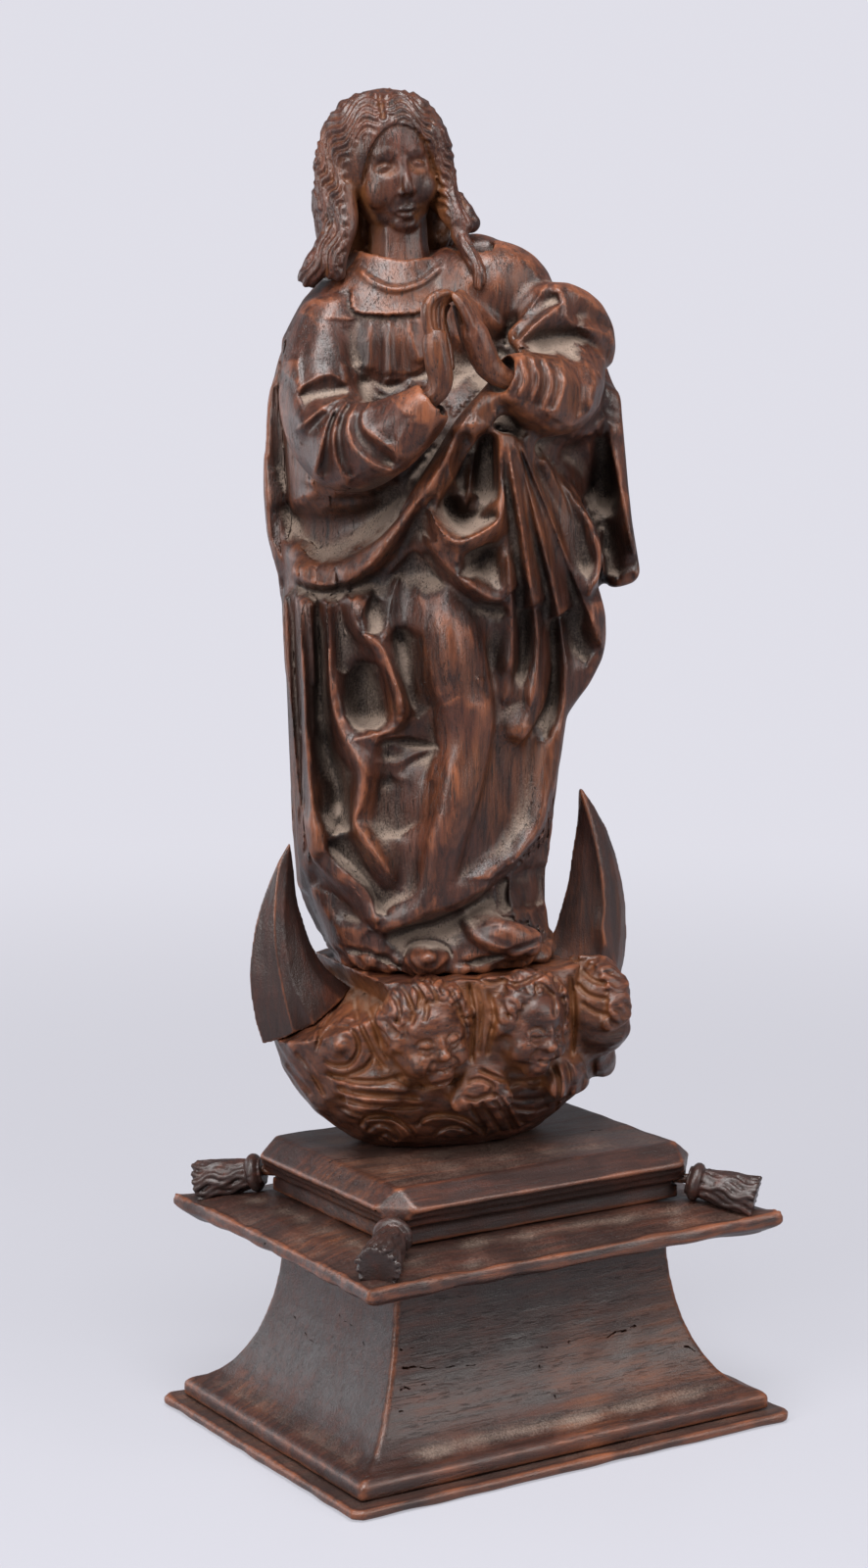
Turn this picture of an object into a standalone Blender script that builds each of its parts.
"""Carved wooden statuette: a robed standing figure on a crescent and a cloud globe, on a tasselled plinth."""
import math

import bmesh
import bpy
import numpy as np
from mathutils import Matrix, Vector

MM = 0.001

# Fits
SEAT_GAP = 0.3 * MM
BORE_CLEARANCE = 0.3 * MM

# Base board
BOARD_WIDTH = 165 * MM
BOARD_DEPTH = 125 * MM
BOARD_THICKNESS = 3.3 * MM
BOARD_CORNER = 2.5 * MM
BOARD_EDGE = 0.8 * MM

# Plinth body
LEDGE_WIDTH = 154.4 * MM
LEDGE_DEPTH = 114.4 * MM
LEDGE_HEIGHT = 4.2 * MM
LEDGE_LIP = 1.4 * MM
WAIST_WIDTH = 103 * MM
WAIST_DEPTH = 71 * MM
BODY_HEIGHT = 58.6 * MM
BODY_CORNER = 0.8 * MM
COVE_STEPS = 10

# Cushion slab
SLAB_OVER_LEDGE = 0.8 * MM
SLAB_WIDTH = LEDGE_WIDTH + 2 * SLAB_OVER_LEDGE
SLAB_DEPTH = 124.6 * MM
SLAB_HEIGHT = 10.5 * MM
SLAB_EDGE = 5.4 * MM
SLAB_UNDERCUT = 1.6 * MM
SLAB_SEAT_INSET = 26 * MM
SLAB_SOFFIT_INSET = 6 * MM
SLAB_SOFFIT_RISE = 0.2 * MM
SLAB_BROW = 3.2 * MM
SLAB_EDGE_ROUND = 1.2 * MM
SLAB_PILLOW = ((3 * MM, 3.8 * MM), (10 * MM, 1.7 * MM), (16 * MM, 1.2 * MM), (22 * MM, 0))
CORNER_SWEEP = 3.2 * MM
CORNER_LIFT = 1.4 * MM
SIDE_STEPS = 6

# Top block
BLOCK_SETBACK_X = 25.5 * MM
BLOCK_SETBACK_Y = 24.3 * MM
BLOCK_WIDTH = SLAB_WIDTH - 2 * BLOCK_SETBACK_X
BLOCK_DEPTH = SLAB_DEPTH - 2 * BLOCK_SETBACK_Y
BLOCK_HEIGHT = 18.4 * MM
BLOCK_SHARP_CORNER = 0.6 * MM
BEVEL_RUN = 7 * MM
BEVEL_DROP = 5.2 * MM
CORNER_FLAT = 13 * MM

# Steps under the top block's table: how far in and how far down from the table
BLOCK_STEPS = (
    (6 * MM, 12.4 * MM), (3.4 * MM, 11.6 * MM), (3.4 * MM, 9.4 * MM),
    (1.7 * MM, 8.9 * MM), (1.7 * MM, 7.2 * MM), (0, 6.6 * MM),
)

# Tassels
TASSEL_LENGTH = 23.5 * MM
KNOT_RADIUS = 6.4 * MM
KNOT_LENGTH = 6 * MM
SKIRT_RADIUS = 7.6 * MM
STRANDS = 9
STRAND_DEPTH = 0.07

# Dowels and pegs
TASSEL_PIN_RADIUS = 1.6 * MM
TASSEL_PIN_LENGTH = 15 * MM
PLINTH_DOWEL_RADIUS = 4 * MM
PLINTH_DOWEL_LENGTH = 34 * MM
PLINTH_DOWEL_SPREAD = 37 * MM
BASE_PEG_RADIUS = 2.5 * MM
BASE_PEG_LENGTH = 14 * MM
BASE_PEG_INSET = 28 * MM
BASE_PEG_SINK = 0.2 * MM
PEG_COLOUR = (0.2, 0.11, 0.06)
HORN_DOWEL_RADIUS = 3 * MM
HORN_DOWEL_LENGTH = 22 * MM
FIGURE_DOWEL_RADIUS = 5 * MM
FIGURE_DOWEL_LENGTH = 44 * MM
SPIGOT_RADIUS = 9 * MM
SPIGOT_IN_GLOBE = 16 * MM
SPIGOT_IN_PLINTH = 25.5 * MM

# Place of the carving on its plinth
STATUE_X = -4 * MM
STATUE_Y = 11 * MM
STATUE_TURN = math.radians(-8)
DRAWING_TURN = math.radians(-24.3)

# Cloud globe
GLOBE_HEIGHT = 57.7 * MM
GLOBE_HALF_WIDTH = 59 * MM
GLOBE_HALF_DEPTH = 37 * MM
GLOBE_HALF_TALL = 50 * MM
GLOBE_WAIST_DROP = 14.7 * MM
CHERUB_RADIUS = 13 * MM
CHERUB_HEIGHT = -17 * MM
CHERUB_LIFT = -4 * MM
CHERUB_BEARINGS = (-22, 13, 48)
WING_BEARING = 17
WING_HEIGHT = -34 * MM
WING_HALF_SIZES = (13 * MM, 4 * MM, 7 * MM)
WING_TILT = 0.5
PUFF_RADIUS = 12 * MM
PUFF_LIFT = -0.5 * MM
PUFFS = ((-59, -20), (-78, -38), (-88, -20), (66, -22), (60, -38), (90, -20), (120, -36), (150, -20),
         (180, -36), (-150, -20), (-120, -36), (-42, -46), (-8, -46), (26, -44), (112, -18), (-112, -18))

# Crescent horns
HORN_THICKNESS = 19 * MM
HORN_SETBACK = 4 * MM
SEAT_INNER = 31 * MM
SEAT_INNER_DROP = 8 * MM
SEAT_OUTER = 62 * MM
SEAT_OUTER_DROP = 24 * MM
HORN_LEFT_TIP = (50 * MM, 52 * MM)
HORN_RIGHT_TIP = (52 * MM, 41 * MM)
HORN_LEFT_REACH = 74 * MM
HORN_RIGHT_REACH = 71 * MM
HORN_STEPS = 9
HORN_TIP_ROUND = 0.6 * MM
HORN_OUTER_RISE = 22 * MM
HORN_OUTER_LEAN = 7 * MM
HORN_OUTER_CURVE = 16 * MM
HORN_INNER_RISE = 8 * MM
HORN_INNER_LEAN = 6 * MM
HORN_INNER_CURVE = 24 * MM

# One section of a horn with its keel: share from outer to inner edge, then depth
HORN_SECTION = ((0, 0), (0.18, -0.62), (0.45, -1), (0.8, -0.55), (1, 0), (0.8, 0.55), (0.45, 1), (0.18, 0.62))

# Figure
CAPE_THICKNESS = 7 * MM
CAPE_RIGHT_EDGE = 112
CAPE_LEFT_EDGE = 66
CAPE_STEPS = 56
CAPE_FOLDS = 7
CAPE_FOLD_DEPTH = 2.6 * MM
CAPE_FOLD_SWAY = 0.025
CAPE_FOLD_BEND = 60 * MM
CAPE_FOLD_EASE = 40 * MM
CAPE_FOLD_TOP = 205 * MM
ROBE_STEPS = 24
WRIST_RADIUS = 3.2 * MM
WRIST_TENON = 8 * MM
WRIST_CLEARANCE = 1.2 * MM
WRIST_MOUTH = 1.2
TOOL_SIZE = 240 * MM
FIGURE_VOXEL = 1.7 * MM
GLOBE_VOXEL = 1.6 * MM
HAND_VOXEL = 0.7 * MM
FIGURE_TRIANGLES = 6000
GLOBE_TRIANGLES = 2600
HAND_TRIANGLES = 420

# Robe from the foot upward: height, centre x, centre y, half width, half depth
BODY_SECTIONS = (
    (0, 1, 0, 38, 31),
    (14, -5, 2, 37, 29),
    (30, -7, 3, 40, 31),
    (57, -7, 3, 42, 33),
    (88, -6, 3, 44, 34),
    (118, -7, 3, 44, 33),
    (145, -10, 4, 39, 29),
    (172, -13, 4, 38, 27),
    (197, -15, 3, 38, 25),
    (210, -15, 3, 31, 21),
    (218, -16, 2, 20, 16),
    (227, -17, 0, 11, 11),
)

# Mantle behind the robe, in the same terms
CAPE_SECTIONS = (
    (8, -4, 2, 37, 31),
    (25, -7, 3, 39.5, 33),
    (57, -7, 3, 42.5, 36),
    (90, -6, 3, 45.5, 38),
    (120, -2, 3, 51.5, 40),
    (150, 0, 3, 58.5, 42),
    (178, 0, 3, 57.5, 41),
    (196, 0, 3, 52, 37),
    (207, -4, 4, 43, 30),
    (215, -9, 4, 32, 22),
    (221, -13, 3, 20, 15),
)

# Sleeves, drawn in the three-quarter view: across, out, up, radius
RIGHT_SLEEVE = (
    (-34, 18, 205, 11), (-38, 26, 190, 12.5), (-37.5, 33, 174, 13.5), (-30, 40, 165, 15),
    (-20, 48, 167, 12.5), (-9, 53, 174, 9.5), (-3, 55, 180, 7),
)
LEFT_SLEEVE = (
    (29, 6, 205, 12), (36, 11, 195, 12.5), (36, 20, 183, 13), (31, 31, 180, 13.5),
    (24, 41, 183, 11), (16, 47, 186, 7.5),
)

# Rolled and gathered cloth, in the same terms
MANTLE_FOLDS = (
    ((26, 23, 200, 7), (31, 20, 207, 7), (41, 11, 205, 7.5), (46, 3, 197, 7.5), (47, 2, 188, 6)),
    ((20, 31, 196, 5), (31, 24, 201, 6), (40, 15, 198, 6.5), (46, 6, 192, 6.5)),
    ((-52, -4, 156, 4), (-50, 2, 140, 4.5), (-45, 10, 131, 5.5), (-37, 22, 126, 6), (-27, 32, 127, 6),
     (-17, 38, 134, 5.5), (-8, 42, 147, 5), (0, 43, 160, 5), (7, 43, 171, 5), (14, 42, 179, 5)),
    ((17, 40, 169, 4), (19, 39, 146, 4.5), (19, 36, 122, 5)),
    ((19, 36, 166, 5), (24, 32, 138, 6), (26, 28, 116, 6)),
    ((21, 32, 166, 5), (29, 26, 138, 6), (33, 20, 112, 6)),
    ((26, 26, 160, 5), (36, 18, 133, 7), (45, 8, 104, 6), (41, 6, 90, 5)),
    ((-6, 41, 150, 4), (-4, 43, 142, 4.5), (3, 44, 137, 4.5), (11, 43, 140, 4.5), (17, 42, 148, 4),
     (18, 41, 164, 4)),
    ((-8, 39, 139, 4), (0, 41, 129, 4.5), (9, 40, 122, 4.5), (18, 36, 121, 4)),
)

# Folds that lie on the robe: across, lift from the robe's skin, up, radius
ROBE_FOLDS = (
    ((19, 3, 122, 5), (19, 1, 95, 4)),
    ((26, 3, 116, 6), (26, 2, 88, 6), (20, 1, 74, 5)),
    ((32, 3, 112, 6), (32, 2, 81, 6.5), (29, 1, 56, 6), (26, 1, 40, 5)),
    ((-27, 1, 122, 4), (-26, 1, 113, 4), (-19, 1, 105, 4), (-15, 1, 94, 4), (-13, 1, 82, 4)),
    ((-15, 1, 77, 4), (-23, 0, 75, 4), (-25, 0, 64, 4), (-26, 0, 50, 4), (-23, 0, 40, 4), (-17, 0, 29, 3)),
    ((0, 0, 122, 8), (4, 0, 98, 9), (6, 0, 82, 9), (4, -1, 62, 8), (-2, -1, 40, 7), (-5, 0, 23, 6)),
    ((-21, 1, 16, 4), (-8, 1, 22, 4), (7, 1, 28, 4), (19, 1, 36, 4), (26, 1, 45, 4)),
    ((-42, 1, 118, 4), (-42, 1, 82, 4), (-41, 1, 48, 4), (-38, 1, 36, 4), (-28, 1, 27, 4), (-23, 0, 18, 3)),
    ((-35, 0, 119, 4), (-35, 0, 96, 4), (-33, 0, 78, 4), (-24, 0, 63, 4)),
    ((-47, -6, 118, 5), (-44, -6, 68, 5), (-43, -6, 23, 4)),
)
SHOES = (
    ((-6, 22, 9, 8), (-7, 33, 6, 6), (-7, 38, 5.5, 5)),
    ((6, 24, 16, 6), (18, 27, 12, 6), (29, 21, 8, 5)),
)

# Outlines of the mantle's hanging points, drawn in the same view: across, up
FLARE_OUTLINES = (
    (14, 8, ((27, 167), (36, 157), (43, 146), (48, 136), (49, 127), (46, 120), (40, 121), (32, 138),
             (26, 157))),
    (-4, 9, ((44, 187), (55, 181), (57, 159), (59, 140), (62, 123), (60, 120), (52, 118), (45, 131),
             (42, 156))),
    (6, 9, ((35, 132), (44, 116), (47, 107), (50, 98), (44, 87), (36, 77), (30, 88), (30, 113))),
)

# Cloth under the forearms, behind the left sleeve and on the left shoulder: centre across, out, up,
# then half sizes
CLOTH_MASSES = (
    ((5, 14, 140), (30, 25, 46)),
    ((24, 0, 172), (26, 22, 38)),
    ((12, 6, 210), (22, 17, 18)),
)

# Picture that the fold lines are drawn on: the eye's distance, height and downward look, and its units
PICTURE_OUT = 962 * MM
PICTURE_UP = 191 * MM
PICTURE_ACROSS = -3.8 * MM
PICTURE_PITCH = math.radians(8)
PICTURE_UNITS = 3098
PICTURE_MIDDLE = (443, 800)
FOLD_FADE = 38
FOLD_END = 0.12

# Crests of the cloth: height in millimetres, then picture points
FOLD_CRESTS = (
    (2.4, (478, 425), (455, 470), (420, 520), (378, 575), (330, 597), (287, 570), (276, 545)),
    (2.4, (505, 420), (514, 490), (508, 532), (468, 554), (440, 525), (442, 490), (455, 470)),
    (2.4, (430, 540), (465, 585), (505, 612), (520, 613)),
    (2.4, (518, 560), (523, 640), (514, 722)),
    (2.4, (517, 440), (536, 560), (549, 650), (540, 725)),
    (2.4, (522, 440), (555, 560), (577, 680), (568, 780), (545, 858), (520, 886)),
    (2.4, (530, 450), (575, 560), (618, 665)),
    (2.0, (545, 450), (590, 505), (615, 580), (598, 612)),
    (2.4, (616, 420), (636, 510), (648, 570)),
    (2.2, (356, 403), (335, 412), (300, 441)),
    (2.2, (352, 405), (327, 460), (320, 498)),
    (2.2, (372, 402), (355, 440), (380, 474), (405, 482)),
    (1.6, (530, 364), (537, 385), (529, 406)),
    (1.8, (562, 350), (577, 390), (560, 428)),
    (2.0, (582, 345), (608, 385), (600, 422)),
    (2.4, (577, 308), (545, 332), (520, 360)),
    (2.4, (588, 333), (620, 342), (630, 354)),
    (2.4, (304, 585), (312, 750), (326, 858), (375, 910), (385, 948)),
    (2.8, (333, 585), (337, 690), (370, 785), (362, 838), (410, 908)),
    (2.8, (356, 590), (375, 652), (403, 695), (412, 738)),
    (2.4, (425, 585), (440, 690), (452, 722)),
    (2.0, (462, 765), (440, 860), (425, 938)),
)

# Valleys between them, and the deep pockets under the forearm and the left sleeve
FOLD_VALLEYS = (
    (-6.0, (298, 520), (330, 545), (370, 532), (412, 500)),
    (-7.0, (575, 455), (605, 480), (620, 515)),
    (-2.4, (303, 312), (281, 365), (277, 430), (310, 503)),
    (-3.0, (292, 592), (325, 607), (385, 588), (448, 500)),
    (-3.0, (452, 505), (478, 536), (508, 522)),
    (-2.6, (477, 440), (470, 490)),
    (-2.6, (497, 440), (494, 508)),
    (-3.0, (430, 560), (475, 608), (518, 626)),
    (-2.8, (512, 450), (530, 600), (532, 700)),
    (-2.8, (520, 450), (556, 610), (557, 750)),
    (-2.8, (528, 455), (580, 605), (598, 680)),
    (-2.8, (545, 470), (600, 590)),
    (-2.4, (306, 404), (356, 399)),
    (-2.0, (343, 418), (331, 488)),
    (-2.0, (377, 408), (366, 444), (405, 474)),
    (-1.4, (549, 362), (557, 390), (548, 416)),
    (-2.0, (575, 350), (594, 395), (588, 425)),
    (-3.0, (570, 300), (525, 346)),
    (-3.0, (540, 347), (575, 342), (622, 366)),
    (-1.8, (297, 590), (312, 830)),
    (-4.0, (325, 590), (330, 720), (350, 830), (342, 850)),
    (-2.4, (335, 858), (393, 932)),
    (-3.0, (405, 640), (428, 735)),
    (-4.0, (372, 672), (368, 742)),
    (-2.0, (490, 630), (495, 715)),
    (-3.4, (385, 760), (446, 762)),
    (-2.4, (398, 790), (408, 855)),
    (-2.6, (535, 885), (548, 925)),
)

# Head and hair, drawn in the same view: centre across, out, up, then half sizes
HEAD = ((-18, 8, 252), (18, 20, 21))
JAW = ((-15, 13, 242), (14, 14, 15))
HAIR = ((-20, 3, 251), (22, 22, 22.5))
NECK = ((-14, 7, 218, 12), (-15, 8, 230, 9.5), (-16, 8, 240, 9.5))
HAIR_LOCKS = (
    ((-35, 8, 253, 6), (-37, 10, 240, 7), (-35, 14, 228, 7), (-38, 15, 217, 5.5)),
    ((-4, 10, 252, 6), (1, 8, 240, 6), (6, 7, 230, 5), (10, 11, 221, 4), (11, 17, 213, 3.5)),
    ((-20, -10, 250, 14), (-19, -14, 232, 13), (-17, -16, 214, 11), (-15, -16, 200, 8)),
)

# Hands, drawn in the same view: palm, thumb, then the first and last finger
RIGHT_PALM = ((0, 55, 182, 4.4), (1, 55, 190, 5), (0, 54.5, 196, 4.6))
RIGHT_THUMB = ((2, 50, 188, 2.2), (3, 47, 195, 2), (1, 46, 202, 1.7))
RIGHT_FINGERS = (
    ((1, 58, 193, 2.2), (-1.5, 57.5, 202, 2), (-3.6, 54, 209.5, 1.6)),
    ((-2, 50, 194, 2.2), (-4.5, 49, 202, 2), (-4, 47, 208, 1.5)),
)
LEFT_PALM = ((13, 48, 188, 4.4), (10.5, 49, 195, 5), (8, 49.5, 199, 4.4))
LEFT_THUMB = ((8, 45, 192, 2.2), (5, 43, 198, 2), (3, 42.5, 203, 1.7))
LEFT_FINGERS = (
    ((9.5, 53, 197, 2.2), (5.5, 54, 204.5, 2), (0.8, 53, 211, 1.6)),
    ((8, 45.5, 199, 2.1), (4.5, 46, 205, 1.9), (1, 46, 210, 1.5)),
)
FINGER_COUNT = 4

# Heights that the pieces stack to
BODY_BOTTOM = BOARD_THICKNESS + SEAT_GAP
SLAB_BOTTOM = BODY_BOTTOM + BODY_HEIGHT + SEAT_GAP
BLOCK_BOTTOM = SLAB_BOTTOM + SLAB_HEIGHT + SEAT_GAP
BLOCK_TOP = BLOCK_BOTTOM + BLOCK_HEIGHT
GLOBE_BOTTOM = BLOCK_TOP + SEAT_GAP
GLOBE_TOP = GLOBE_BOTTOM + GLOBE_HEIGHT
FIGURE_BOTTOM = GLOBE_TOP + SEAT_GAP

STATUE = Matrix.Translation((STATUE_X, STATUE_Y, FIGURE_BOTTOM)) @ Matrix.Rotation(STATUE_TURN, 4, "Z")
DRAWING = STATUE @ Matrix.Rotation(DRAWING_TURN, 4, "Z")

for old in list(bpy.data.objects):
    bpy.data.objects.remove(old, do_unlink=True)
PARTS = bpy.data.collections.new("madonna_statue")
CUTTERS = bpy.data.collections.new("cutters")
bpy.context.scene.collection.children.link(PARTS)
bpy.context.scene.collection.children.link(CUTTERS)


def wood(name, colour, roughness):
    """Waxed wood of one colour."""
    material = bpy.data.materials.new(name)
    material.use_nodes = True
    shader = material.node_tree.nodes["Principled BSDF"]
    shader.inputs["Base Color"].default_value = (*colour, 1)
    shader.inputs["Roughness"].default_value = roughness
    shader.inputs["Metallic"].default_value = 0
    return material


def part(name, mesh, colour, roughness=0.5):
    """Put a finished mesh in the parts collection with its own wood."""
    piece = bpy.data.objects.new(name, mesh)
    mesh.materials.clear()
    mesh.materials.append(wood(name + "_wood", colour, roughness))
    PARTS.objects.link(piece)
    return piece


def cutter(name, mesh):
    """A hidden tool body that other pieces are cut with."""
    piece = bpy.data.objects.new(name, mesh)
    piece.hide_render = True
    piece.display_type = "WIRE"
    CUTTERS.objects.link(piece)
    return piece


def cut(piece, tool):
    """Take the tool's volume out of the piece."""
    modifier = piece.modifiers.new(tool.name, "BOOLEAN")
    modifier.operation = "DIFFERENCE"
    modifier.solver = "EXACT"
    modifier.object = tool


def finish_mesh(bm, name):
    """Turn the faces outward and keep the result as a mesh."""
    bmesh.ops.recalc_face_normals(bm, faces=bm.faces)
    mesh = bpy.data.meshes.new(name)
    bm.to_mesh(mesh)
    bm.free()
    return mesh


def loft(name, rings):
    """Skin from ring to ring and close both ends."""
    bm = bmesh.new()
    loops = [[bm.verts.new(point) for point in ring] for ring in rings]
    for low, high in zip(loops, loops[1:]):
        for i in range(len(low)):
            j = (i + 1) % len(low)
            bm.faces.new((low[i], low[j], high[j], high[i]))
    bm.faces.new(reversed(loops[0]))
    bm.faces.new(loops[-1])
    return finish_mesh(bm, name)


def cylinder(name, start, end, radius, sides=20):
    """Round bar between two points."""
    start = Vector(start)
    axis = Vector(end) - start
    place = Matrix.Translation(start + axis / 2) @ axis.to_track_quat("Z", "Y").to_matrix().to_4x4()
    bm = bmesh.new()
    bmesh.ops.create_cone(bm, cap_ends=True, segments=sides, radius1=radius, radius2=radius,
                          depth=axis.length, matrix=place)
    return finish_mesh(bm, name)


def block(name, size, place):
    """Box of the given size about a placed centre."""
    bm = bmesh.new()
    bmesh.ops.create_cube(bm, size=1, matrix=place @ Matrix.Diagonal((*size, 1)))
    return finish_mesh(bm, name)


def ellipsoid(name, centre, radii, place):
    """Egg shape with its half sizes along the placed axes."""
    bm = bmesh.new()
    fit = place @ Matrix.Translation(centre) @ Matrix.Diagonal((*radii, 1))
    bmesh.ops.create_uvsphere(bm, u_segments=32, v_segments=20, radius=1, matrix=fit)
    return finish_mesh(bm, name)


def drawn(across, out, up):
    """Point of the three-quarter drawing, in metres."""
    return Vector((across * MM, -out * MM, up * MM))


def rope(name, stations):
    """Round cloth roll through drawn stations, each with its radius."""
    curve = bpy.data.curves.new(name, "CURVE")
    curve.dimensions = "3D"
    curve.bevel_depth = 1
    curve.bevel_resolution = 3
    curve.resolution_u = 6
    curve.use_fill_caps = True
    line = curve.splines.new("BEZIER")
    line.bezier_points.add(len(stations) - 1)
    for point, (across, out, up, radius) in zip(line.bezier_points, stations):
        point.co = drawn(across, out, up)
        point.radius = radius * MM
        point.handle_left_type = "AUTO"
        point.handle_right_type = "AUTO"
    return curve_mesh(name, curve)


def plate(name, out, thickness, outline):
    """Flat hanging point of cloth, drawn as an outline and given a thickness."""
    curve = bpy.data.curves.new(name, "CURVE")
    curve.dimensions = "2D"
    curve.fill_mode = "BOTH"
    curve.extrude = thickness * MM / 2
    line = curve.splines.new("POLY")
    line.points.add(len(outline) - 1)
    line.use_cyclic_u = True
    for point, (across, up) in zip(line.points, outline):
        point.co = (across * MM, up * MM, 0, 1)
    mesh = curve_mesh(name, curve)
    mesh.transform(Matrix.Translation((0, -out * MM, 0)) @ Matrix.Rotation(math.pi / 2, 4, "X"))
    return mesh


def curve_mesh(name, curve):
    """Plain mesh of a curve object, with its ends welded shut."""
    holder = bpy.data.objects.new(name, curve)
    CUTTERS.objects.link(holder)
    bpy.context.view_layer.update()
    mesh = bpy.data.meshes.new_from_object(holder.evaluated_get(bpy.context.evaluated_depsgraph_get()))
    bpy.data.objects.remove(holder, do_unlink=True)
    bm = bmesh.new()
    bm.from_mesh(mesh)
    bmesh.ops.remove_doubles(bm, verts=bm.verts, dist=1e-6)
    return finish_mesh(bm, name)


def fuse(name, meshes, voxel, rounds, triangles, strokes=None):
    """Carve several solids as one piece of wood and keep about the given number of triangles."""
    bm = bmesh.new()
    for mesh in meshes:
        bm.from_mesh(mesh)
    raw = bpy.data.objects.new(name + "_raw", finish_mesh(bm, name))
    CUTTERS.objects.link(raw)
    remesh = raw.modifiers.new("carve", "REMESH")
    remesh.mode = "VOXEL"
    remesh.voxel_size = voxel
    smooth = raw.modifiers.new("soften", "SMOOTH")
    smooth.factor = 0.5
    smooth.iterations = rounds
    bpy.context.view_layer.update()
    depsgraph = bpy.context.evaluated_depsgraph_get()
    dense = bpy.data.meshes.new_from_object(raw.evaluated_get(depsgraph))
    if strokes:
        strokes(dense)
    raw.modifiers.clear()
    raw.data = dense
    thin = raw.modifiers.new("thin", "DECIMATE")
    thin.ratio = triangles / (2 * len(dense.polygons))
    thin.use_collapse_triangulate = True
    bpy.context.view_layer.update()
    depsgraph = bpy.context.evaluated_depsgraph_get()
    mesh = bpy.data.meshes.new_from_object(raw.evaluated_get(depsgraph))
    bpy.data.objects.remove(raw, do_unlink=True)
    mesh.name = name
    return mesh


def box_ring(half_width, half_depth, z, corner):
    """Rectangle with its corners cut by flats."""
    x, y, c = half_width, half_depth, corner
    return [(x, c - y, z), (x, y - c, z), (x - c, y, z), (c - x, y, z),
            (-x, y - c, z), (-x, c - y, z), (c - x, -y, z), (x - c, -y, z)]


def oval_ring(section, bearings, inset=0):
    """Points of an oval section at bearings counted from the front toward the figure's left."""
    height, x, y, half_width, half_depth = section
    points = []
    for bearing in bearings:
        angle = math.radians(bearing)
        points.append(Vector(((x + (half_width - inset) * math.sin(angle)) * MM,
                              (y - (half_depth - inset) * math.cos(angle)) * MM, height * MM)))
    return points


def make_board():
    """Thin board with eased edges."""
    rings = []
    for inset, z in ((BOARD_EDGE, 0), (0, BOARD_EDGE), (0, BOARD_THICKNESS - BOARD_EDGE),
                     (BOARD_EDGE, BOARD_THICKNESS)):
        rings.append(box_ring(BOARD_WIDTH / 2 - inset, BOARD_DEPTH / 2 - inset, z, BOARD_CORNER))
    return part("base_board", loft("base_board", rings), (0.10, 0.045, 0.032))


def make_body():
    """Plain ledge, then a hollow quarter oval up to the waist."""
    cove_x = (LEDGE_WIDTH - WAIST_WIDTH) / 2
    cove_y = (LEDGE_DEPTH - WAIST_DEPTH) / 2
    cove_bottom = LEDGE_HEIGHT + LEDGE_LIP
    rings = [box_ring(LEDGE_WIDTH / 2, LEDGE_DEPTH / 2, BODY_BOTTOM, BODY_CORNER),
             box_ring(LEDGE_WIDTH / 2, LEDGE_DEPTH / 2, BODY_BOTTOM + LEDGE_HEIGHT, BODY_CORNER)]
    for step in range(COVE_STEPS + 1):
        turn = math.pi / 2 * (0.04 + 0.96 * step / COVE_STEPS)
        z = BODY_BOTTOM + cove_bottom + (BODY_HEIGHT - cove_bottom) * (1 - math.cos(turn))
        rings.append(box_ring(LEDGE_WIDTH / 2 - cove_x * math.sin(turn),
                              LEDGE_DEPTH / 2 - cove_y * math.sin(turn), z, BODY_CORNER))
    return part("plinth_body", loft("plinth_body", rings), (0.12, 0.055, 0.04))


def cushion_ring(inset, z, lift):
    """One level of the slab, with its sides swept out to pointed corners."""
    half_x = SLAB_WIDTH / 2 - inset - CORNER_SWEEP
    half_y = SLAB_DEPTH / 2 - inset - CORNER_SWEEP
    points = []
    for quarter in range(4):
        for step in range(SIDE_STEPS):
            t = 2 * step / SIDE_STEPS - 1
            sweep = abs(t) ** 5
            side = ((t, -1), (1, t), (-t, 1), (-1, -t))[quarter]
            x = side[0] * (half_x + CORNER_SWEEP * sweep)
            y = side[1] * (half_y + CORNER_SWEEP * sweep)
            points.append((x, y, z + lift * sweep))
    return points


def slab_mesh(name, raise_by=0):
    """Slab with an undercut edge, a pillowed top and lifted corners."""
    base = SLAB_BOTTOM + raise_by
    crown = base + SLAB_HEIGHT
    edge = crown - SLAB_EDGE - SLAB_BROW
    levels = [
        (SLAB_SEAT_INSET, base, 0),
        (SLAB_SOFFIT_INSET, base + SLAB_SOFFIT_RISE, 0),
        (SLAB_UNDERCUT, edge, CORNER_LIFT * 0.6),
        (0, edge + SLAB_EDGE_ROUND, CORNER_LIFT),
        (SLAB_EDGE_ROUND / 2, edge + SLAB_EDGE - SLAB_EDGE_ROUND / 2, CORNER_LIFT),
    ]
    for inset, drop in SLAB_PILLOW:
        levels.append((inset, crown - drop, CORNER_LIFT * 0.6 if drop > SLAB_BROW else 0))
    return loft(name, [cushion_ring(*level) for level in levels])


def make_block():
    """Steps under a bevelled table, with flats on the corners for the tassels."""
    half_x = BLOCK_WIDTH / 2 + BEVEL_RUN
    half_y = BLOCK_DEPTH / 2 + BEVEL_RUN
    flat_line = half_x + half_y - CORNER_FLAT / math.sqrt(2)
    levels = ((BLOCK_STEPS[0][0], BLOCK_HEIGHT),) + BLOCK_STEPS + ((0, BEVEL_DROP), (BEVEL_RUN, 0))
    rings = []
    for inset, drop in levels:
        corner = max(half_x + half_y - 2 * inset - flat_line, BLOCK_SHARP_CORNER)
        rings.append(box_ring(half_x - inset, half_y - inset, BLOCK_TOP - drop, corner))
    return part("top_block", loft("top_block", rings), (0.11, 0.048, 0.034))


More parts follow.
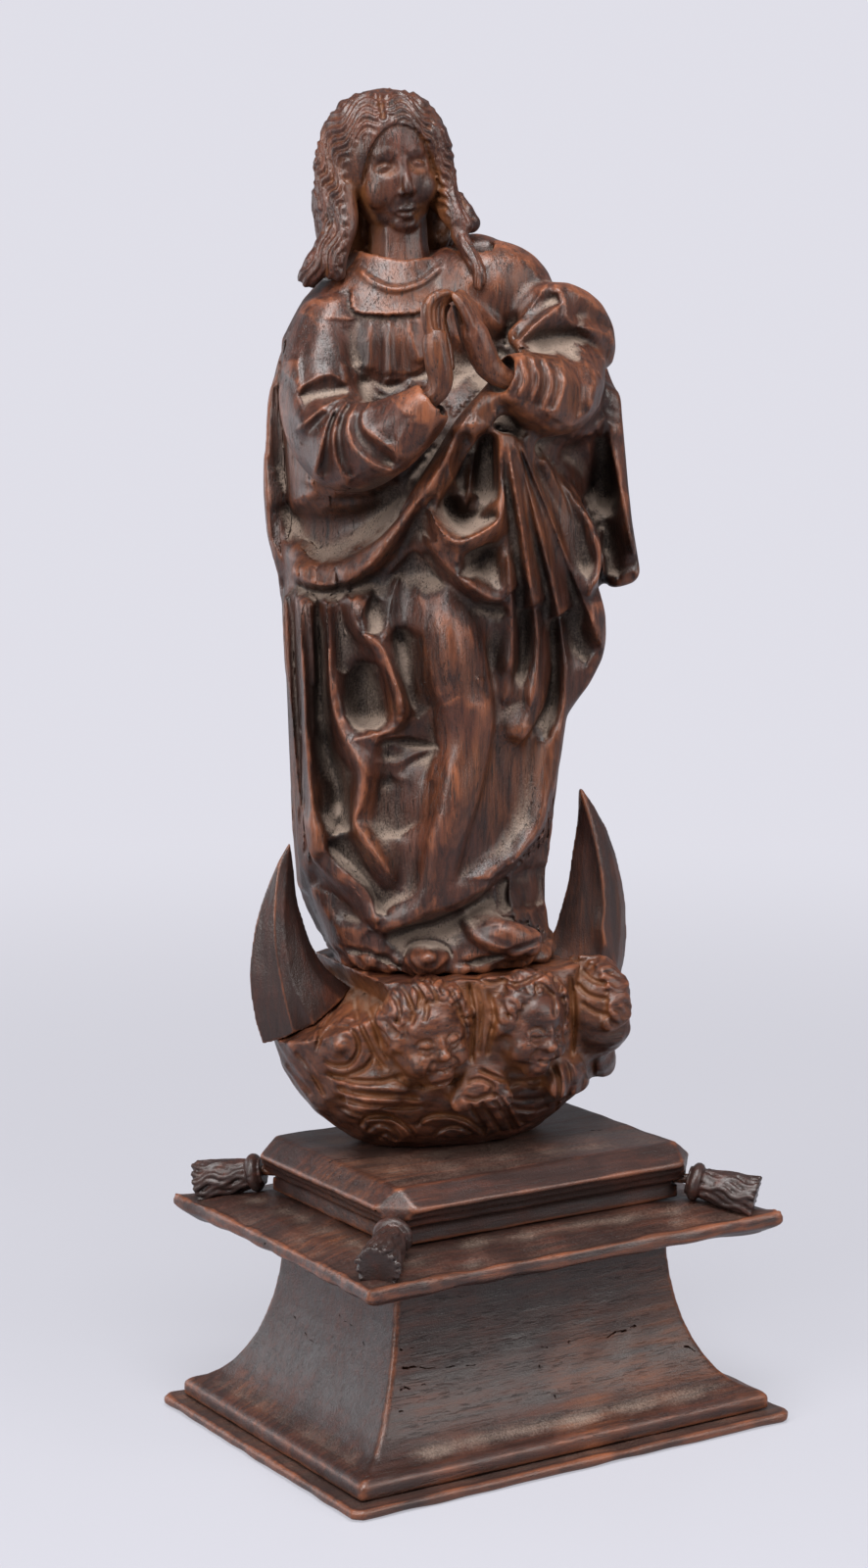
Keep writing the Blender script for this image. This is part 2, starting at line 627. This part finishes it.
def corner_place(side_x, side_y):
    """Frame on a corner flat of the top block: x points out along the tassel."""
    half_x = BLOCK_WIDTH / 2 + BEVEL_RUN - CORNER_FLAT / math.sqrt(2) / 2
    half_y = BLOCK_DEPTH / 2 + BEVEL_RUN - CORNER_FLAT / math.sqrt(2) / 2
    turn = math.atan2(side_y, side_x)
    at = Vector((side_x * half_x, side_y * half_y, BLOCK_BOTTOM + KNOT_RADIUS))
    return Matrix.Translation(at) @ Matrix.Rotation(turn, 4, "Z")


def tassel_mesh(name, place):
    """Round knot, pinched neck and a skirt of strands, skinned along the tassel's axis."""
    skirt = TASSEL_LENGTH - KNOT_LENGTH
    stations = (
        (0, 0.72 * KNOT_RADIUS, 0), (0.12 * KNOT_LENGTH, 0.96 * KNOT_RADIUS, 0),
        (0.5 * KNOT_LENGTH, KNOT_RADIUS, 0),
        (0.85 * KNOT_LENGTH, 0.95 * KNOT_RADIUS, 0), (KNOT_LENGTH, 0.7 * KNOT_RADIUS, 0),
        (KNOT_LENGTH + 0.08 * skirt, 0.72 * SKIRT_RADIUS, 0.5),
        (KNOT_LENGTH + 0.4 * skirt, 0.86 * SKIRT_RADIUS, 1),
        (KNOT_LENGTH + 0.75 * skirt, 0.97 * SKIRT_RADIUS, 1), (KNOT_LENGTH + 0.96 * skirt, SKIRT_RADIUS, 1),
        (TASSEL_LENGTH, 0.93 * SKIRT_RADIUS, 1),
    )
    rings = []
    for along, radius, strand in stations:
        ring = []
        for step in range(2 * STRANDS):
            angle = math.pi * step / STRANDS
            reach = radius * (1 + STRAND_DEPTH * strand * (1 if step % 2 else -1))
            ring.append(place @ Vector((SEAT_GAP + along, reach * math.cos(angle), reach * math.sin(angle))))
        rings.append(ring)
    return loft(name, rings)


def on_globe(bearing, height, lift):
    """Point at a height on the globe's skin, pushed out by a lift."""
    drop = (height + GLOBE_WAIST_DROP) / GLOBE_HALF_TALL
    spread = math.sqrt(max(1 - drop * drop, 0))
    angle = math.radians(bearing)
    return Vector(((GLOBE_HALF_WIDTH * spread + lift) * math.sin(angle),
                   -(GLOBE_HALF_DEPTH * spread + lift) * math.cos(angle), height))


def globe_meshes():
    """Bowl, cherub heads with their wings, and puffs of cloud, in the frame of the figure's foot."""
    half_sizes = (GLOBE_HALF_WIDTH, GLOBE_HALF_DEPTH, GLOBE_HALF_TALL)
    shapes = [ellipsoid("bowl", (0, 0, -GLOBE_WAIST_DROP), half_sizes, STATUE)]
    radius = CHERUB_RADIUS
    for bearing in CHERUB_BEARINGS:
        turn = Matrix.Rotation(math.radians(bearing), 4, "Z")
        face = STATUE @ Matrix.Translation(on_globe(bearing, CHERUB_HEIGHT, CHERUB_LIFT)) @ turn
        cheeks = (0.8 * radius, 0.6 * radius, 0.55 * radius)
        shapes.append(ellipsoid("cherub", (0, 0, 0), (radius, radius, radius * 1.1), face))
        shapes.append(ellipsoid("cheeks", (0, -0.35 * radius, -0.45 * radius), cheeks, face))
        for side in (-1, 1):
            wing = STATUE @ Matrix.Translation(on_globe(bearing + side * WING_BEARING, WING_HEIGHT, 0))
            wing = wing @ turn @ Matrix.Rotation(side * WING_TILT, 4, "Y")
            shapes.append(ellipsoid("wing", (0, 0, 0), WING_HALF_SIZES, wing))
    for bearing, height in PUFFS:
        puff = STATUE @ Matrix.Translation(on_globe(bearing, height * MM, PUFF_LIFT - PUFF_RADIUS))
        shapes.append(ellipsoid("puff", (0, 0, 0), (PUFF_RADIUS, PUFF_RADIUS, 0.8 * PUFF_RADIUS), puff))
    return shapes


def seat_frame(side):
    """Frame on the seat of one horn: z is the seat's normal, x runs down and outward."""
    run = Vector((side * (SEAT_OUTER - SEAT_INNER), 0, SEAT_INNER_DROP - SEAT_OUTER_DROP)).normalized()
    normal = Vector((side * abs(run.z), 0, abs(run.x)))
    across = normal.cross(run)
    drop = (SEAT_INNER_DROP + SEAT_OUTER_DROP) / 2
    middle = Vector((side * (SEAT_INNER + SEAT_OUTER) / 2, HORN_SETBACK, -drop))
    turn = Matrix((run, across, normal)).transposed().to_4x4()
    return STATUE @ Matrix.Translation(middle) @ turn


def bezier(a, b, c, d, t):
    """Point of a curve with two handles."""
    s = 1 - t
    return a * s ** 3 + b * 3 * s * s * t + c * 3 * s * t * t + d * t ** 3


def horn_mesh(name, side, tip, reach):
    """Keeled crescent horn, skinned from its seat to its tip."""
    point = Vector((tip[0], tip[1]))
    outer = (Vector((SEAT_OUTER, -SEAT_OUTER_DROP)), Vector((reach, HORN_OUTER_RISE - SEAT_OUTER_DROP)),
             Vector((reach - HORN_OUTER_LEAN, tip[1] - HORN_OUTER_CURVE)), point)
    inner = (Vector((SEAT_INNER, -SEAT_INNER_DROP)),
             Vector((tip[0] - HORN_INNER_LEAN, HORN_INNER_RISE - SEAT_INNER_DROP)),
             Vector((tip[0] - HORN_INNER_LEAN / 3, tip[1] - HORN_INNER_CURVE)), point)
    rings = []
    for step in range(HORN_STEPS + 1):
        t = 0.985 * step / HORN_STEPS
        out_edge = bezier(*outer, t)
        in_edge = bezier(*inner, t)
        half = HORN_THICKNESS / 2 * (1 - t) ** 0.75 + HORN_TIP_ROUND
        ring = []
        for share, depth in HORN_SECTION:
            edge = out_edge.lerp(in_edge, share)
            ring.append(STATUE @ Vector((side * edge.x, HORN_SETBACK + depth * half, edge.y)))
        rings.append(ring)
    return loft(name, rings)


def cape_mesh():
    """Mantle as a thick sheet that wraps the back from one front edge to the other."""
    sweep = 360 - CAPE_RIGHT_EDGE - CAPE_LEFT_EDGE
    span = [-CAPE_RIGHT_EDGE - sweep * step / CAPE_STEPS for step in range(CAPE_STEPS + 1)]
    rings = []
    for section in CAPE_SECTIONS:
        height = section[0] * MM
        fade = min(max((CAPE_FOLD_TOP - height) / CAPE_FOLD_EASE, 0), 1)
        sway = CAPE_FOLD_SWAY * math.sin(height / CAPE_FOLD_BEND)
        ring = []
        for step, bearing in enumerate(span):
            turn = math.tau * CAPE_FOLDS * (step / CAPE_STEPS + sway)
            rise = CAPE_FOLD_DEPTH / MM * fade * math.cos(turn)
            ring += oval_ring(section, [bearing], -rise)
        ring += oval_ring(section, span[::-1], CAPE_THICKNESS / MM)
        rings.append([STATUE @ point for point in ring])
    return loft("cape", rings)


def along(lines, at):
    """Distance of picture points from the nearest drawn lines, and the height drawn there."""
    total = np.full(len(at), 1e-12)
    pull = np.zeros(len(at))
    for height, *route in lines:
        route = np.array(route, float)
        away = np.full(len(at), np.inf)
        share = np.zeros(len(at))
        for index, (start, end) in enumerate(zip(route, route[1:])):
            run = end - start
            part_way = np.clip((at - start) @ run / (run @ run), 0, 1)
            gap = np.linalg.norm(at - start - part_way[:, None] * run, axis=1)
            nearer = gap < away
            away[nearer] = gap[nearer]
            share[nearer] = (index + part_way[nearer]) / (len(route) - 1)
        ends = np.clip(np.minimum(share, 1 - share) / FOLD_END, 0.05, 1)
        hold = ((away + 0.5) / ends) ** -4
        total += hold
        pull += hold * height
    return total ** -0.25, pull / total


def hang_folds(mesh):
    """Push the cloth in and out along the line of sight, sharp at the crests and round in the valleys."""
    points = np.empty(len(mesh.vertices) * 3)
    mesh.vertices.foreach_get("co", points)
    points = points.reshape(-1, 3)
    normals = np.empty(len(points) * 3)
    mesh.vertex_normals.foreach_get("vector", normals)
    normals = normals.reshape(-1, 3)
    turn = np.array(DRAWING.to_3x3())
    eye = DRAWING @ Vector((PICTURE_ACROSS, -PICTURE_OUT, PICTURE_UP))
    rel = (points - np.array(eye)) @ turn
    depth = rel[:, 1] * math.cos(PICTURE_PITCH) - rel[:, 2] * math.sin(PICTURE_PITCH)
    rise = rel[:, 2] * math.cos(PICTURE_PITCH) + rel[:, 1] * math.sin(PICTURE_PITCH)
    at = np.column_stack((PICTURE_MIDDLE[0] + PICTURE_UNITS * rel[:, 0] / depth,
                          PICTURE_MIDDLE[1] - PICTURE_UNITS * rise / depth))
    crest_away, crest = along(FOLD_CRESTS, at)
    valley_away, valley = along(FOLD_VALLEYS, at)
    share = crest_away / (crest_away + valley_away)
    lift = crest + (valley - crest) * (1 - (1 - share) ** 2)
    lift *= np.exp(-(np.minimum(crest_away, valley_away) / FOLD_FADE) ** 2)
    sight = np.array(eye) - points
    sight /= np.linalg.norm(sight, axis=1)[:, None]
    facing = np.clip((normals * sight).sum(1) * 3, 0, 1)
    points += sight * (lift * facing * MM)[:, None]
    mesh.vertices.foreach_set("co", points.ravel())
    mesh.update()


def robe_skin(across, up):
    """How far out the robe's skin lies at a drawn point, or at its edge beyond the outline."""
    heights = [section[0] for section in BODY_SECTIONS]
    index = max(i for i in range(len(heights) - 1) if heights[i] <= up)
    low, high = BODY_SECTIONS[index], BODY_SECTIONS[index + 1]
    share = (up - low[0]) / (high[0] - low[0])
    x, y, half_width, half_depth = (a + (b - a) * share for a, b in zip(low[1:], high[1:]))
    turn_x, turn_y = math.cos(DRAWING_TURN), math.sin(DRAWING_TURN)
    px, py = across * turn_x - x, across * turn_y - y
    ox, oy = turn_y / half_width, -turn_x / half_depth
    px, py = px / half_width, py / half_depth
    square = ox * ox + oy * oy
    half = (px * ox + py * oy) / square
    return -half + math.sqrt(max(half * half - (px * px + py * py - 1) / square, 0))


def laid(stations):
    """Stations given by their lift from the robe, turned into drawn stations."""
    return tuple((across, robe_skin(across, up) + lift, up, radius)
                 for across, lift, up, radius in stations)


def figure_meshes():
    """Robe, mantle, folds, shoes, head and hair as the solids that one block of wood is carved to."""
    around = [360 * step / ROBE_STEPS for step in range(ROBE_STEPS)]
    rings = [[STATUE @ point for point in oval_ring(section, around)] for section in BODY_SECTIONS]
    shapes = [loft("robe", rings), cape_mesh()]
    lying = tuple(laid(stations) for stations in ROBE_FOLDS)
    for stations in (RIGHT_SLEEVE, LEFT_SLEEVE, NECK) + MANTLE_FOLDS + lying + SHOES + HAIR_LOCKS:
        mesh = rope("roll", stations)
        mesh.transform(DRAWING)
        shapes.append(mesh)
    for out, thickness, outline in FLARE_OUTLINES:
        mesh = plate("flare", out, thickness, outline)
        mesh.transform(DRAWING)
        shapes.append(mesh)
    for centre, radii in (HEAD, JAW, HAIR) + CLOTH_MASSES:
        shapes.append(ellipsoid("head", drawn(*centre), [r * MM for r in radii], DRAWING))
    return shapes


def hand_meshes(palm, thumb, fingers):
    """Palm, thumb and a row of fingers spaced between the first and the last."""
    shapes = [rope("palm", palm), rope("thumb", thumb)]
    for index in range(FINGER_COUNT):
        share = index / (FINGER_COUNT - 1)
        stations = []
        for first, last in zip(*fingers):
            stations.append(tuple(a + (b - a) * share for a, b in zip(first, last)))
        shapes.append(rope("finger", stations))
    for mesh in shapes:
        mesh.transform(DRAWING)
    return shapes


def tenon_line(sleeve, palm):
    """Two points of the wrist tenon: at the palm and inside the sleeve."""
    start = DRAWING @ drawn(*palm[0][:3])
    inner = DRAWING @ drawn(*sleeve[-2][:3])
    return start, start + (inner - start).normalized() * WRIST_TENON


def pegged(name, start, end, radius, sides, pieces):
    """Add a dowel between two points and bore the pieces it goes through."""
    part(name, cylinder(name, start, end, radius, sides), PEG_COLOUR)
    slack = (end - start).normalized() * BORE_CLEARANCE
    hole = cylinder(name + "_bore", start - slack, end + slack, radius + BORE_CLEARANCE, sides)
    bore = cutter(name + "_bore", hole)
    for piece in pieces:
        cut(piece, bore)


def flat_tool(name, z, above):
    """Large block that cuts the carving off flat at a height."""
    shift = TOOL_SIZE / 2 if above else -TOOL_SIZE / 2
    place = Matrix.Translation((STATUE_X, STATUE_Y, z + shift))
    return cutter(name, block(name, (TOOL_SIZE, TOOL_SIZE, TOOL_SIZE), place))


def build_plinth():
    """Board, body, slab, top block and tassels with their dowels, pins and pegs."""
    board = make_board()
    body = make_body()
    slab = part("cushion_slab", slab_mesh("cushion_slab"), (0.12, 0.052, 0.038))
    table = make_block()

    # Tassels on the four corners, each with its pin
    slab_tool = cutter("slab_tool", slab_mesh("slab_tool", SEAT_GAP))
    for name, side_x, side_y in (("front", -1, -1), ("right", 1, -1), ("back", 1, 1), ("left", -1, 1)):
        place = corner_place(side_x, side_y)
        tassel = part("tassel_" + name, tassel_mesh("tassel_" + name, place), (0.13, 0.05, 0.032))
        cut(tassel, slab_tool)
        half = Vector((TASSEL_PIN_LENGTH / 2, 0, 0))
        pegged("tassel_pin_" + name, place @ -half, place @ half, TASSEL_PIN_RADIUS, 12, (tassel, table))

    # Dowels through the slab
    middle = (SLAB_BOTTOM + BLOCK_BOTTOM) / 2
    half = Vector((0, 0, PLINTH_DOWEL_LENGTH / 2))
    for name, x in (("right", -PLINTH_DOWEL_SPREAD), ("left", PLINTH_DOWEL_SPREAD)):
        at = Vector((x, 0, middle))
        pegged("plinth_dowel_" + name, at - half, at + half, PLINTH_DOWEL_RADIUS, 20, (body, slab, table))

    # Pegs up through the board
    number = 0
    for side_x in (-1, 1):
        for side_y in (-1, 1):
            number += 1
            x = side_x * (LEDGE_WIDTH / 2 - BASE_PEG_INSET)
            y = side_y * (LEDGE_DEPTH / 2 - BASE_PEG_INSET)
            low = Vector((x, y, BASE_PEG_SINK))
            high = low + Vector((0, 0, BASE_PEG_LENGTH))
            pegged("base_peg_%d" % number, low, high, BASE_PEG_RADIUS, 16, (board, body))
    return slab, table


def build_carving(slab, table):
    """Globe, horns, figure and hands, and the spigot that drops into the plinth."""
    globe_mesh = fuse("cloud_globe", globe_meshes(), GLOBE_VOXEL, 3, GLOBE_TRIANGLES)
    globe = part("cloud_globe", globe_mesh, (0.09, 0.04, 0.028))
    cut(globe, flat_tool("globe_top_plane", GLOBE_TOP, True))
    cut(globe, flat_tool("globe_bottom_plane", GLOBE_BOTTOM, False))

    # Horns on the globe's shoulders
    half_run = math.hypot(SEAT_OUTER - SEAT_INNER, SEAT_OUTER_DROP - SEAT_INNER_DROP) / 2
    for name, side, tip, reach in (("right", -1, HORN_RIGHT_TIP, HORN_RIGHT_REACH),
                                   ("left", 1, HORN_LEFT_TIP, HORN_LEFT_REACH)):
        seat = seat_frame(side)
        horn = part("horn_" + name, horn_mesh("horn_" + name, side, tip, reach), (0.10, 0.04, 0.028))
        shift = (TOOL_SIZE / 2 - half_run - SEAT_GAP, 0, TOOL_SIZE / 2 - SEAT_GAP)
        tool = block("horn_seat_" + name, (TOOL_SIZE, TOOL_SIZE, TOOL_SIZE), seat @ Matrix.Translation(shift))
        cut(globe, cutter("horn_seat_" + name, tool))
        half = Vector((0, 0, HORN_DOWEL_LENGTH / 2))
        pegged("horn_dowel_" + name, seat @ -half, seat @ half, HORN_DOWEL_RADIUS, 16, (globe, horn))

    # Figure, flat under its foot
    figure_mesh = fuse("figure", figure_meshes(), FIGURE_VOXEL, 4, FIGURE_TRIANGLES, hang_folds)
    figure = part("figure", figure_mesh, (0.10, 0.042, 0.028))
    cut(figure, flat_tool("figure_foot_plane", FIGURE_BOTTOM, False))

    # Hands on wrist tenons in the cuffs
    for name, sleeve, palm, thumb, fingers in (
            ("right", RIGHT_SLEEVE, RIGHT_PALM, RIGHT_THUMB, RIGHT_FINGERS),
            ("left", LEFT_SLEEVE, LEFT_PALM, LEFT_THUMB, LEFT_FINGERS)):
        start, end = tenon_line(sleeve, palm)
        shapes = hand_meshes(palm, thumb, fingers)
        shapes.append(cylinder("tenon", start, end, WRIST_RADIUS, 24))
        part("hand_" + name, fuse("hand_" + name, shapes, HAND_VOXEL, 2, HAND_TRIANGLES), (0.19, 0.06, 0.035))
        mouth = start - (end - start) * WRIST_MOUTH
        floor = end + (end - start).normalized() * 2 * BORE_CLEARANCE
        socket = cylinder("wrist_socket_" + name, mouth, floor, palm[0][3] * MM + WRIST_CLEARANCE, 24)
        cut(figure, cutter("wrist_socket_" + name, socket))

    # Dowel between figure and globe, and the spigot
    at = Vector((STATUE_X, STATUE_Y, FIGURE_BOTTOM - SEAT_GAP / 2))
    half = Vector((0, 0, FIGURE_DOWEL_LENGTH / 2))
    pegged("figure_dowel", at - half, at + half, FIGURE_DOWEL_RADIUS, 20, (figure, globe))
    low = Vector((STATUE_X, STATUE_Y, GLOBE_BOTTOM - SPIGOT_IN_PLINTH))
    high = Vector((STATUE_X, STATUE_Y, GLOBE_BOTTOM + SPIGOT_IN_GLOBE))
    pegged("spigot", low, high, SPIGOT_RADIUS, 28, (globe, table, slab))


build_carving(*build_plinth())
bpy.context.view_layer.update()
